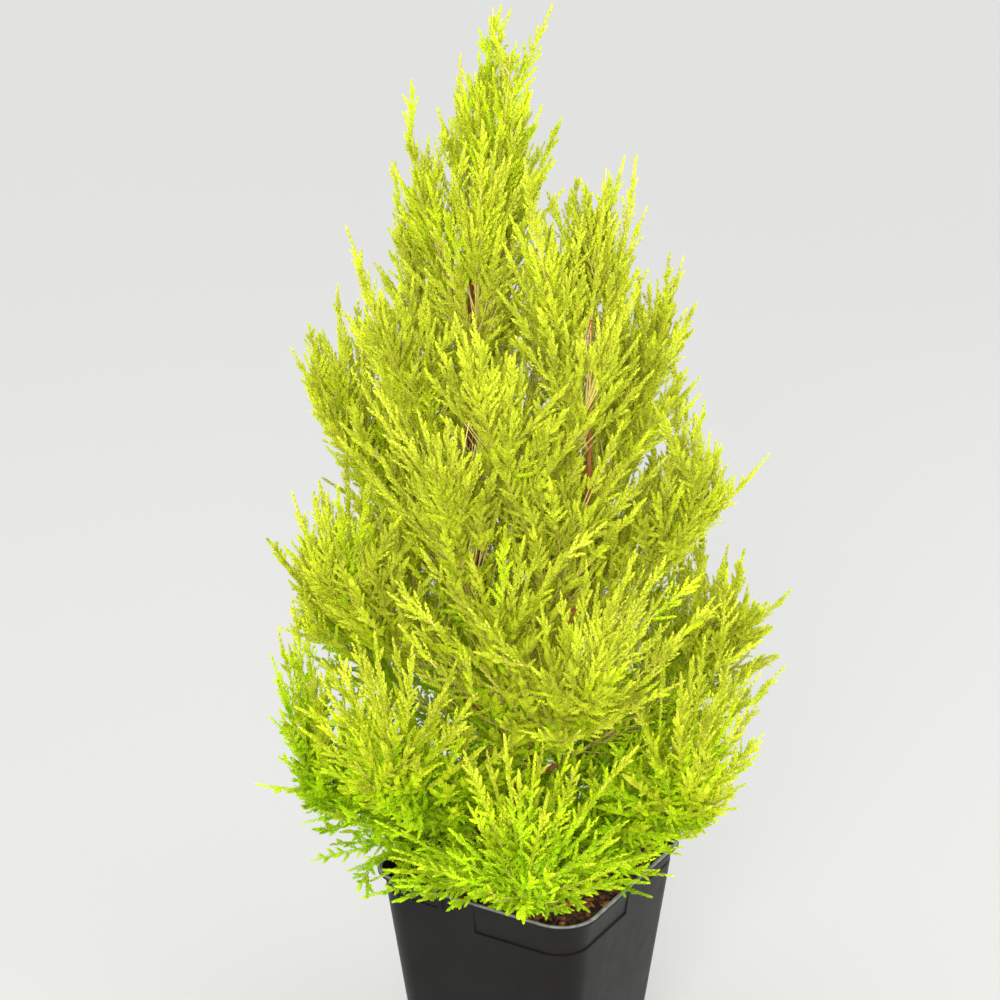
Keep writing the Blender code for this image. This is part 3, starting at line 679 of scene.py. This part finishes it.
def growTips():
    rule = np.random.default_rng(31)
    spread = tipTwig["depthSpread"]
    places = [(side, rule.normal(0, spread), height) for side, height in leadingTips] + fringeTips
    grown = []
    for side, behind, height in places:
        spot = np.array((side, behind, pot["height"] + height))
        rises = tipTwig["highRises" if height > tipTwig["highFrom"] else "lowRises"]
        found = [twigTo(spot, stemPoints, rise, tipTwig["reach"], rule, 1) for rise in rises]
        grown += [line for line in found if line][:1]
    return grown


twigs = [grown for seed, mass in enumerate(masses, twig["firstSeed"]) for grown in growTwigs(mass, seed)]
print("twigs grown:", len(twigs))
twigs += growTips()
twigs += fillPockets(twigs)
print("with leading tips and pockets filled:", len(twigs))


# Shoots, set along both sides of each twig and along the twig itself

shoot = {
    "spacing": 0.0040, "openHeights": (0.04, 0.14), "angleFoot": (54, 38), "angleTip": (40, 22),
    "shortest": 0.0070, "longest": (0.013, 0.018), "ofTwig": 0.22, "lengthSpread": (0.82, 1.10),
    "wander": 0.42, "lift": 0.10, "axisLength": 0.0155, "axisSpacing": 0.0125,
    "slack": 0.006, "tipSlack": 0.034, "woodClear": (0.0016, 0.002),
    "sparseFrom": 0.042, "sparseOver": 0.060, "sparseMost": 0.60,
    "sparseHeights": (0.06, 0.12), "sparseShares": (0.4, 1),
    "longFrom": 0.0125, "pieceLimit": 190000,
}
needle = {
    "halfWidth": 0.00090, "foot": 0.00030, "reach": 0.0021, "ahead": 0.0025, "perWhorl": 3,
    "whorls": (9, 6), "whorlTurn": 1.1, "narrowing": 0.34, "tipNarrowing": 0.55,
    "axisRadius": 0.00042, "axisPast": 0.0012,
}


def alongLine(line, share):
    place = share * (len(line) - 1)
    low = np.minimum(place.astype(int), len(line) - 2)
    part = (place - low)[:, None]
    step = line[low + 1] - line[low]
    return line[low] + part * step, step / np.linalg.norm(step, axis=1)[:, None]


def growShoots(line, face, tint, leading, rule):
    # columns: place, direction, length, how far along the twig, tint, 1 if it carries the twig itself on,
    # and 1 on a leading twig or a mass's own stem
    length = np.linalg.norm(np.diff(line, axis=0), axis=1).sum()
    count = max(4, int(length / shoot["spacing"]))
    share = 0.08 + 0.90 * (np.arange(count) + rule.uniform(0.2, 0.8, count)) / count
    place, ahead = alongLine(line, share)
    side = np.cross(ahead, face)
    side /= np.linalg.norm(side, axis=1)[:, None]
    other = np.cross(side, ahead)
    turn = rule.normal(0, shoot["wander"], count)
    lifted = np.arange(count) % 5 == 4
    turn[lifted] = pi / 2 * np.where(rule.random(lifted.sum()) < 0.5, -1, 1)
    sign = np.where(np.arange(count) % 2 == 0, 1, -1)
    across = (sign * np.cos(turn))[:, None] * side + np.sin(turn)[:, None] * other
    # the low sprays are the more open ones
    middle = line[:, 2].mean() - pot["height"]
    keys = ("angleFoot", "angleTip", "longest")
    foot, tip, longest = (np.interp(middle, shoot["openHeights"], shoot[key]) for key in keys)
    angle = np.radians(foot + (tip - foot) * share + rule.normal(0, 4, count))
    direct = np.cos(angle)[:, None] * ahead + np.sin(angle)[:, None] * across
    full = min(shoot["shortest"] + shoot["ofTwig"] * length, longest)
    long = full * (1.0 - 0.74 * share**1.35) * rule.uniform(*shoot["lengthSpread"], count)
    marks = (np.full(count, tint), np.zeros(count), np.full(count, leading))
    sideRows = np.column_stack([place, direct, long, share, *marks])
    onAxis = np.arange(0.22, 0.995, shoot["axisSpacing"] / length)
    place, ahead = alongLine(line, onAxis)
    same = np.ones(len(onAxis))
    marks = (same * tint, same, same * leading)
    axisRows = np.column_stack([place, ahead, same * shoot["axisLength"], onAxis, *marks])
    return np.vstack([sideRows, axisRows])


# the clearings through which the two leaders show from the front: height and half-height of each
eye = np.array((-0.0196, -1.286, 0.884))  # the camera's place, before the turn of the plant
clearings = {
    "halfWidth": 0.0038,
    "trunk": [(0.370, 0.007), (0.281, 0.009), (0.203, 0.005)],
    "second": [(0.353, 0.005), (0.318, 0.010), (0.284, 0.010), (0.250, 0.004)],
}


def hidesStem(rows):
    # which shoots stand between the camera and a clearing
    hides = np.zeros(len(rows), bool)
    for point, places in ((trunkPoint, clearings["trunk"]), (secondPoint, clearings["second"])):
        for height, half in places:
            stem = np.array(point(height))
            for share in (0, 0.35, 0.7, 1):
                spots = rows[:, :3] + share * rows[:, 3:6] * rows[:, 6:7]
                seen = eye + (spots - eye) * ((stem[1] - eye[1]) / (spots[:, 1:2] - eye[1]))
                near = np.abs(seen[:, 0] - stem[0]) < clearings["halfWidth"]
                near &= np.abs(seen[:, 2] - stem[2]) < half
                hides |= near & (spots[:, 1] < stem[1])
    return hides


rule = np.random.default_rng(11)
rows = np.vstack([growShoots(*grown, rule) for grown in twigs])
tips = rows[:, :3] + rows[:, 3:6] * rows[:, 6:7]
kept = crownDepth(tips) > -shoot["slack"] - shoot["tipSlack"] * rows[:, 10]
kept &= potClear(tips) & potClear(rows[:, :3])
kept &= woodClear(rows[:, :3], shoot["woodClear"][0]) & woodClear(tips, shoot["woodClear"][1])
rows = rows[kept]
rows = rows[~hidesStem(rows)]
# deep inside the crown fewer shoots grow, as few would be seen
depth = crownDepth(rows[:, :3])
sparse = np.clip((depth - shoot["sparseFrom"]) / shoot["sparseOver"], 0, shoot["sparseMost"])
sparse *= np.interp(rows[:, 2] - pot["height"], shoot["sparseHeights"], shoot["sparseShares"])
thin = rule.random(len(rows)) < sparse
rows, depth = rows[~thin], depth[~thin]
print("shoots placed:", len(rows))


def shootTemplate(whorls):
    # points as across x, across y, share of the shoot's length, and distance on from there
    points, faces = [], []
    for ring in range(whorls):
        at = 0.04 + 0.94 * ring / (whorls - 1)
        size = 1.0 - needle["narrowing"] * at
        for k in range(needle["perWhorl"]):
            turn = 2 * pi * k / needle["perWhorl"] + ring * needle["whorlTurn"]
            out = np.array((cos(turn), sin(turn)))
            wide = np.array((-sin(turn), cos(turn))) * needle["halfWidth"]
            foot = out * needle["foot"]
            tip = out * needle["reach"] * size * (1 - needle["tipNarrowing"] * at**3)
            ahead = needle["ahead"] * (0.8 + 0.3 * at)
            points += [[*(foot - wide), at, 0], [*(foot + wide), at, 0], [*tip, at, ahead]]
            faces.append([len(points) - 3, len(points) - 2, len(points) - 1])
    base = len(points)
    for k in range(3):
        turn = 2 * pi * k / 3
        points.append([needle["axisRadius"] * cos(turn), needle["axisRadius"] * sin(turn), 0, 0])
    points.append([0, 0, 1, needle["axisPast"]])
    faces += [[base + k, base + (k + 1) % 3, base + 3] for k in range(3)]
    return np.array(points), np.array(faces)


def shootMesh(rows, template, rule):
    # every shoot of one length class, as one table of points and one of faces
    points, faces = template
    direct = rows[:, 3:6]
    helper = np.where(np.abs(direct[:, 2:3]) > 0.9, np.array([[1.0, 0, 0]]), np.array([[0, 0, 1.0]]))
    side = np.cross(direct, helper)
    side /= np.linalg.norm(side, axis=1)[:, None]
    other = np.cross(direct, side)
    roll = rule.uniform(0, 2 * pi, len(rows))[:, None]
    side, other = np.cos(roll) * side + np.sin(roll) * other, np.cos(roll) * other - np.sin(roll) * side
    size = rule.uniform(0.88, 1.12, len(rows))[:, None]
    on = rows[:, 6:7] * points[None, :, 2] + points[None, :, 3]
    lift = (shoot["lift"] * (1 - rows[:, 9:10]) * rows[:, 6:7]) * points[None, :, 2] ** 2
    cloud = rows[:, None, :3] + on[..., None] * direct[:, None]
    sideways = (size * points[None, :, 0])[..., None] * side[:, None]
    sideways += (size * points[None, :, 1])[..., None] * other[:, None]
    cloud += sideways
    cloud[..., 2] += lift
    joined = (faces[None] + (np.arange(len(rows)) * len(points))[:, None, None]).reshape(-1, 3)
    return cloud.reshape(-1, 3), joined


shootColours = [
    ("oldShoots", (158, 199, 20)),
    ("deepShoots", (177, 213, 22)),
    ("greenShoots", (192, 224, 26)),
    ("limeShoots", (202, 224, 35)),
    ("goldShoots", (208, 222, 42)),
    ("tipShoots", (208, 217, 58)),
]
# a shoot's tone, which picks its colour: greener low down, inside and to the left, with painted light and
# painted shade in it by height and depth
shade = {
    "heights": (0.0, 0.06, 0.15, 0.35, 0.54), "toneAndPaintedLightByHeight": (0.30, 0.48, 0.94, 1.06, 0.76),
    "inside": 1.9, "deepest": 0.070, "toRight": 0.8, "byTwig": 0.11, "scatter": 0.03,
    "alongTwig": 0.24, "twigMiddle": 0.4, "steps": (0.30, 0.44, 0.57, 0.70, 0.84),
}
# by height it is partly painted light: lifted through the middle of the crown, where the foliage shades
# itself, and lowered at the top, where the lamps fall strongest
tone = np.interp(rows[:, 2] - pot["height"], shade["heights"], shade["toneAndPaintedLightByHeight"])
# darker deeper inside the crown: partly the inner growth's own greener colour, partly painted shade
tone -= shade["inside"] * np.clip(depth, 0, shade["deepest"])
bySide = shade["toRight"] * rows[:, 0] + shade["byTwig"] * rows[:, 8]
scatter = rule.normal(0, shade["scatter"], len(rows))
tone += bySide + scatter + shade["alongTwig"] * (rows[:, 7] - shade["twigMiddle"])
band = np.digitize(tone, shade["steps"])
longTemplate, shortTemplate = (shootTemplate(whorls) for whorls in needle["whorls"])
massNames = [mass.name for mass in masses]
total = 0
for number, (name, colour) in enumerate(shootColours):
    material = shootMaterial(name, colour)
    own = rows[band == number]
    isLong = own[:, 6] > shoot["longFrom"]
    clouds, faces, base = [], [], 0
    for part, template in ((own[isLong], longTemplate), (own[~isLong], shortTemplate)):
        cloud, joined = shootMesh(part, template, rule)
        clouds.append(cloud)
        faces.append(joined + base)
        base += len(cloud)
    points, faces = np.vstack(clouds), np.vstack(faces)
    total += len(faces)
    pieces = max(1, -(-len(faces) // shoot["pieceLimit"]))
    cuts = np.linspace(0, len(faces), pieces + 1).astype(int)
    for piece, (first, last) in enumerate(zip(cuts, cuts[1:]), 1):
        used, packed = np.unique(faces[first:last], return_inverse=True)
        arrayPiece(f"{name}{piece}", points[used], packed.reshape(-1, 3), material, "foliage", massNames)
print("needles made:", total, "triangles")


# Wood of the twigs: thin tubes under the needles

def tubes(lines, footRadius, tipRadius, sides):
    # open tubes along lines, as one table of points and one of faces
    points, faces, base = [], [], 0
    for line in lines:
        ahead = np.gradient(line, axis=0)
        ahead /= np.linalg.norm(ahead, axis=1)[:, None]
        side = np.cross(ahead, (0.3, 0.2, 0.93))
        side /= np.linalg.norm(side, axis=1)[:, None]
        other = np.cross(ahead, side)
        radius = np.linspace(footRadius, tipRadius, len(line))[:, None, None]
        turns = 2 * pi * np.arange(sides) / sides
        ring = np.cos(turns)[None, :, None] * side[:, None] + np.sin(turns)[None, :, None] * other[:, None]
        points.append((line[:, None] + radius * ring).reshape(-1, 3))
        for i in range(len(line) - 1):
            for k in range(sides):
                after = (k + 1) % sides
                low, high = base + i * sides, base + (i + 1) * sides
                faces.append([low + k, low + after, high + after, high + k])
        base += len(line) * sides
    return np.vstack(points), np.array(faces)


tanTwig = barkMaterial("tanTwig", (192, 168, 84), (214, 196, 102), (232, 218, 134), 420)
twigTubes = tubes([line for line, *_ in twigs], twig["foot"], twig["tip"], 4)
arrayPiece("twigs", *twigTubes, tanTwig, "foliage", massNames)
stems = []
for mass in masses:
    marks = np.linspace(mass.start, mass.path.length - 0.004, 14)
    stems.append(np.array([pathPoint(mass.path, mark) for mark in marks]))
arrayPiece("stems", *tubes(stems, limb["stem"], limb["stemTip"], 6), tanTwig, "foliage", massNames)
print("twigs made")


# Moulded pot: tapered walls, a pad at each corner under a rolled lip, drain holes

def sideAt(height):
    top = pot["rimSide"] - 2 * pot["bandProud"]
    return pot["footSide"] + (top - pot["footSide"]) * height / pot["height"]


def cornerAt(height):
    return pot["footCorner"] + (pot["rimCorner"] - pot["footCorner"]) * height / pot["height"]


padEnds = (0.27, 0.285, 0.305, 0.40, 0.52, 0.75)  # shares of a side's straight run, left to right


def squareLoop(side, corner, height):
    half, points = side / 2 - corner, []
    for quarter, (sx, sy) in enumerate(((-1, -1), (1, -1), (1, 1), (-1, 1))):
        for step in range(pot["cornerSteps"] + 1):
            turn = pi / 2 * (quarter + 2 + step / pot["cornerSteps"])
            points.append(Vector((sx * half + corner * cos(turn), sy * half + corner * sin(turn), height)))
        first = points[-1]
        nx, ny = ((1, -1), (1, 1), (-1, 1), (-1, -1))[quarter]
        turn = pi / 2 * (quarter + 3)
        last = Vector((nx * half + corner * cos(turn), ny * half + corner * sin(turn), height))
        shares = padEnds if quarter % 2 == 0 else [1 - share for share in reversed(padEnds)]
        points += [first.lerp(last, share) for share in shares]
    return points


def potProfile():
    # height and distance out of each loop, up the outside, over the rolled lip and down the inside
    top, proud = pot["height"], pot["bandProud"]
    lip, edge, inner = top - pot["lipHeight"], proud + pot["lipFlare"], proud - pot["wall"]
    outer = [(0.0, -0.0020), (0.0006, -0.0006), (0.0022, 0.0), (0.060, 0.0), (0.120, 0.0)]
    outer += [(top - pot["tallPad"], 0.0), (top - pot["shortPad"], 0.0), (lip - 0.0012, 0.0)]
    outer += [(lip, proud), (lip + 0.0004, edge - 0.0006), (top - 0.0020, edge)]
    outer += [(top - 0.0008, edge - 0.0003), (top - 0.0001, edge - 0.0012)]
    inside = [(top, proud + 0.0006), (top - 0.0004, inner + 0.0003), (top - 0.0014, inner)]
    inside += [(top - pot["tallPad"], inner - 0.0014), (0.100, -pot["wall"]), (pot["floor"], -pot["wall"])]
    return outer + inside


def makePot(material):
    profile = potProfile()
    columns = 4 * (pot["cornerSteps"] + 1 + len(padEnds))
    maker, grid = tubeRows(columns, len(profile))
    for row, (height, out) in zip(grid, profile):
        for vert, point in zip(row, squareLoop(sideAt(height) + 2 * out, cornerAt(height) + out, height)):
            vert.co = point
    bmesh.ops.recalc_face_normals(maker, faces=maker.faces)
    perSide = columns // 4
    place = {vert: (i, j) for i, row in enumerate(grid) for j, vert in enumerate(row)}

    def patch(lowRow, highRow, quarter, low, high):
        # faces between two rows, over a run of columns counted from the start of a corner
        found = []
        for face in maker.faces:
            places = [place[vert] for vert in face.verts if vert in place]
            if len(places) != 4:
                continue
            rowsOf = [i for i, j in places]
            columnsOf = [(j - quarter * perSide - low) % columns for i, j in places]
            if min(rowsOf) >= lowRow and max(rowsOf) <= highRow and max(columnsOf) <= high - low:
                found.append(face)
        return found

    steps = pot["cornerSteps"]
    shortPads = patch(6, 7, 0, -1, steps + 1) + patch(6, 7, 2, -1, steps + 1)
    tallPads = patch(5, 7, 1, -2, steps + 2) + patch(5, 7, 3, -2, steps + 2)
    slitStarts = [(quarter, low) for quarter in (0, 2) for low in (-3, steps + 2)]
    slits = [face for quarter, low in slitStarts for face in patch(6, 7, quarter, low, low + 1)]
    for faces, edge, depth in (
        (shortPads + tallPads, pot["padEdge"], pot["padProud"]),
        (slits, pot["slitEdge"], -pot["slitDepth"]),
    ):
        bmesh.ops.inset_region(maker, faces=faces, thickness=edge, depth=depth, use_even_offset=True)
    piece = bmeshPiece("squarePot", maker, material, "pot_plastic", ["pot"], 35)
    drills = bmesh.new()
    reach, size = pot["drainReach"], pot["drainRadius"]
    for x, y in ((-reach, -reach), (-reach, reach), (reach, -reach), (reach, reach)):
        place = Matrix.Translation((x, y, 0.001))
        bmesh.ops.create_cone(
            drills, cap_ends=True, segments=28, radius1=size, radius2=size, depth=0.01, matrix=place
        )
    mesh = bpy.data.meshes.new("drills")
    drills.to_mesh(mesh)
    drills.free()
    drill = bpy.data.objects.new("drills", mesh)
    scene.collection.objects.link(drill)
    cut = piece.modifiers.new("drains", "BOOLEAN")
    cut.object, cut.operation, cut.solver = drill, "DIFFERENCE", "EXACT"
    drilled = bpy.data.meshes.new_from_object(piece.evaluated_get(bpy.context.evaluated_depsgraph_get()))
    piece.modifiers.clear()
    piece.data = drilled
    bpy.data.objects.remove(drill)


makePot(plasticMaterial())
print("pot made")


# Compost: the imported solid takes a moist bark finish, with loose chips lying on it

chips = {
    "count": 620, "length": (0.004, 0.013), "width": (0.002, 0.0055), "thick": (0.0009, 0.0024),
    "margin": 0.010, "corner": 0.020, "stemClear": 0.012, "uneven": 0.28, "pitch": 0.28, "roll": 0.22,
    "shares": (0.45, 0.35, 0.20),
}
chipColours = [
    ("darkChips", (58, 34, 20), (96, 58, 34)),
    ("brownChips", (104, 62, 34), (146, 92, 50)),
    ("orangeChips", (150, 90, 42), (196, 130, 66)),
]


def makeChips():
    rule = np.random.default_rng(4)
    cube = np.array([[x, y, z] for x in (-1, 1) for y in (-1, 1) for z in (-1, 1)]) / 2
    quads = np.array([[0, 1, 3, 2], [4, 6, 7, 5], [0, 4, 5, 1], [2, 3, 7, 6], [0, 2, 6, 4], [1, 5, 7, 3]])
    kinds = [[], [], []]
    half = pot["rimSide"] / 2 - chips["margin"]
    stemX, stemY = trunk["start"] * cos(plantTurn), trunk["start"] * sin(plantTurn)
    while sum(len(kind) for kind in kinds) < chips["count"]:
        x, y = rule.uniform(-half, half, 2)
        if hypot(x - stemX, y - stemY) < chips["stemClear"]:
            continue
        if hypot(*(max(0, abs(at) - half + chips["corner"]) for at in (x, y))) > chips["corner"]:
            continue
        edge = max(0, max(abs(x), abs(y)) / half - 0.70) / 0.30
        size = [rule.uniform(*chips[key]) for key in ("length", "width", "thick")]
        shape = cube * (1 + rule.uniform(-chips["uneven"], chips["uneven"], (8, 3))) * size
        turn = Matrix.Rotation(rule.uniform(0, 2 * pi), 3, "Z")
        turn = turn @ Matrix.Rotation(rule.normal(0, chips["pitch"]), 3, "X")
        turn = np.array(turn @ Matrix.Rotation(rule.normal(0, chips["roll"]), 3, "Y"))
        # the compost falls a little to the pot's walls
        lie = np.array((x, y, ground - 0.003 * min(1, edge) + size[2] * 0.3 + rule.uniform(-0.0003, 0.0012)))
        kinds[int(rule.choice(3, p=chips["shares"]))].append(shape @ turn.T + lie)
    for (name, dark, light), kind in zip(chipColours, kinds):
        points = np.vstack(kind) @ plantMatrix  # arrayPiece turns them back
        faces = np.vstack([quads + 8 * i for i in range(len(kind))])
        arrayPiece(name, points, faces, chipMaterial(name, dark, light), "bark_compost")


def compostMaterial():
    material, tree, shader = newMaterial("moistCompost", 0.92)
    crumbs = objectNoise(tree, 240, detail=7, rough=0.7)
    stops = [(0.30, (30, 20, 14)), (0.55, (62, 42, 28)), (0.78, (98, 68, 44))]
    ramp = colourRamp(tree, crumbs.outputs[0], stops)
    tree.links.new(ramp.outputs[0], shader.inputs["Base Color"])
    addBump(tree, shader, crumbs.outputs[0], 0.9, 0.0016)
    return material


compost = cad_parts["compost"]
compost.data.materials.clear()
compost.data.materials.append(compostMaterial())
makeChips()
print("compost made")


# Floor, lights and the camera, which looks at the plant's unturned front

stage = {
    "floor": 40, "paper": (186, 186, 184), "world": 1.48, "worldColour": (0.97, 0.98, 0.98, 1),
    "key": 38, "fill": 8, "back": 2, "pitch": 18.94, "lens": 79.2, "sensor": 36, "near": 0.01,
}

floorMesh = bmesh.new()
bmesh.ops.create_grid(floorMesh, x_segments=1, y_segments=1, size=stage["floor"] / 2)
mesh = bpy.data.meshes.new("paleFloor")
floorMesh.to_mesh(mesh)
floorMesh.free()
floor = bpy.data.objects.new("paleFloor", mesh)
scene.collection.objects.link(floor)
material, tree, shader = newMaterial("palePaper", 0.85)
shader.inputs["Base Color"].default_value = linear(stage["paper"])
mesh.materials.append(material)

world = bpy.data.worlds.new("softStudio")
scene.world = world
world.use_nodes = True
background = world.node_tree.nodes["Background"]
background.inputs["Color"].default_value = stage["worldColour"]
background.inputs["Strength"].default_value = stage["world"]

toFront = Matrix.Rotation(plantTurn, 4, "Z")


def areaLight(name, place, aim, size, energy, colour=(1, 1, 1)):
    data = bpy.data.lights.new(name, "AREA")
    data.shape, data.size, data.energy, data.color = "DISK", size, energy, colour
    light = bpy.data.objects.new(name, data)
    scene.collection.objects.link(light)
    spot = Vector(place)
    aimed = (Vector(aim) - spot).to_track_quat("-Z", "Y").to_matrix().to_4x4()
    light.matrix_world = toFront @ Matrix.Translation(spot) @ aimed


areaLight("keyLight", (-0.24, -2.0, 1.12), (0, 0, 0.42), 0.9, stage["key"], (1, 0.98, 0.94))
areaLight("fillLight", (1.7, -1.3, 1.0), (0, 0, 0.40), 1.6, stage["fill"])
areaLight("backLight", (0.9, 1.5, 1.6), (0, 0, 0.45), 1.0, stage["back"])

camera = bpy.data.cameras.new("camera")
camera.sensor_width, camera.lens, camera.clip_start = stage["sensor"], stage["lens"], stage["near"]
cameraObject = bpy.data.objects.new("camera", camera)
scene.collection.objects.link(cameraObject)
tilt = Matrix.Rotation(radians(90 - stage["pitch"]), 4, "X")
cameraObject.matrix_world = toFront @ Matrix.Translation(eye) @ tilt
scene.camera = cameraObject

print("stage set")
